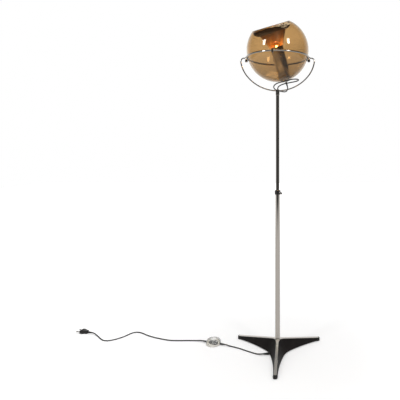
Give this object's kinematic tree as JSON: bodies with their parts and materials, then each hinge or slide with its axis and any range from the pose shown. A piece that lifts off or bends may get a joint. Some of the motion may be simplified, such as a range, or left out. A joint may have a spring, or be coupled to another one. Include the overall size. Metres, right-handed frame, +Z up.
{
  "type": "floor lamp",
  "caption": "Floor lamp: an open smoked-glass globe rests in a chrome ring on a wire yoke and telescopic stem, over a black star-shaped base with steel ridges. A foot switch is on its cord.",
  "frame": {"origin": "the point on the floor below the stem's axis", "axes": "+Z up along the stem, -Y to the front of the lamp, +X to its right as seen from the front"},
  "size_m": [1.0714, 0.374, 1.3317],
  "materials": {
    "black_iron": "satin black paint",
    "steel_strip": "brushed",
    "chrome": "polished",
    "reflector_metal": "bright rolled",
    "zinc": "plain plated",
    "black_plastic": "matte",
    "nylon": "matte",
    "rubber": "matte",
    "smoked_glass": "clear, polished",
    "bulb_glass": "lit, softly frosted",
    "holder_black": "gloss",
    "brass": "plain",
    "cord_black": "matte",
    "switch_clear": "clear, gloss"
  },
  "bodies": {
    "base": {"base_casting": "black_iron", "ridge_plate": "steel_strip", "foot_front": "rubber", "foot_right": "rubber", "foot_left": "rubber", "stem_washer": "zinc", "stem_nut": "zinc", "lower_tube": "chrome", "stem_foot_bush": "nylon", "stem_liner": "nylon", "collar": "black_plastic", "base_cord": "cord_black", "exit_relief": "rubber", "floor_cord_a": "cord_black", "floor_cord_b": "cord_black", "switch_base": "switch_clear", "switch_cover": "switch_clear", "switch_block": "black_plastic", "switch_relief_in": "switch_clear", "switch_relief_out": "switch_clear", "plug_body": "black_plastic", "plug_relief": "rubber", "plug_pin_a": "brass", "plug_pin_b": "brass"},
    "carriage": {"slider": "nylon"},
    "column": {"upper_tube": "chrome", "tube_end": "nylon", "slider_ring": "zinc", "ferrule": "chrome", "ferrule_bush": "nylon", "yoke_left": "chrome", "yoke_right": "chrome", "head_cord": "cord_black"},
    "ring": {"ring_back": "chrome", "ring_left": "chrome", "ring_right": "chrome", "pivot_barrel_left": "chrome", "pivot_barrel_right": "chrome", "clamp_lug_left": "chrome", "clamp_lug_right": "chrome", "clamp_screw_upper": "chrome", "clamp_screw_lower": "chrome"},
    "screw_left": {"pivot_screw_left": "black_plastic"},
    "screw_right": {"pivot_screw_right": "black_plastic"},
    "collar_screw": {"collar_screw": "chrome"},
    "globe": {"globe_glass": "smoked_glass", "gasket_under": "rubber", "globe_disc": "chrome", "gasket_inside": "rubber", "tube_foot": "chrome", "lamp_tube": "chrome", "reflector": "reflector_metal", "gland": "chrome", "globe_relief": "rubber", "nipple": "brass", "nipple_nut": "brass", "lampholder": "holder_black", "lamp_cap": "brass", "bulb": "bulb_glass"},
    "button": {"switch_button": "switch_clear"}
  },
  "joints": [
    {"name": "stem_lift", "type": "slide", "parent": "base", "child": "carriage", "axis": [0, 0, 1], "range_m": [-0.38, 0.11]},
    {"name": "head_swivel", "type": "hinge", "parent": "carriage", "child": "column", "pos_m": [0, 0, 0.6], "axis": [0, 0, 1], "range_deg": [-170, 170]},
    {"name": "ring_tilt", "type": "hinge", "parent": "column", "child": "ring", "pos_m": [0, 0, 1.18], "axis": [1, 0, 0], "range_deg": [-35, 35], "deforming": ["head_cord"]},
    {"name": "globe_roll", "type": "hinge", "parent": "ring", "child": "globe", "pos_m": [0, 0, 1.21], "axis": [0, 1, 0], "range_deg": [-28, 62], "deforming": ["head_cord"]},
    {"name": "pivot_screw_left_turn", "type": "hinge", "parent": "ring", "child": "screw_left", "pos_m": [-0.126, 0, 1.1745], "axis": [0, 0, -1], "range_deg": [0, 360]},
    {"name": "pivot_screw_right_turn", "type": "hinge", "parent": "ring", "child": "screw_right", "pos_m": [0.126, 0, 1.1745], "axis": [0, 0, -1], "range_deg": [0, 360]},
    {"name": "collar_screw_turn", "type": "hinge", "parent": "base", "child": "collar_screw", "pos_m": [0, 0, 0.636], "axis": [0.766, -0.6428, 0], "range_deg": [0, 360]},
    {"name": "switch_press", "type": "slide", "parent": "base", "child": "button", "axis": [0, 0, -1], "range_m": [0, 0.003], "stiffness_N_per_m": 300, "springref_m": -0.002}
  ]
}
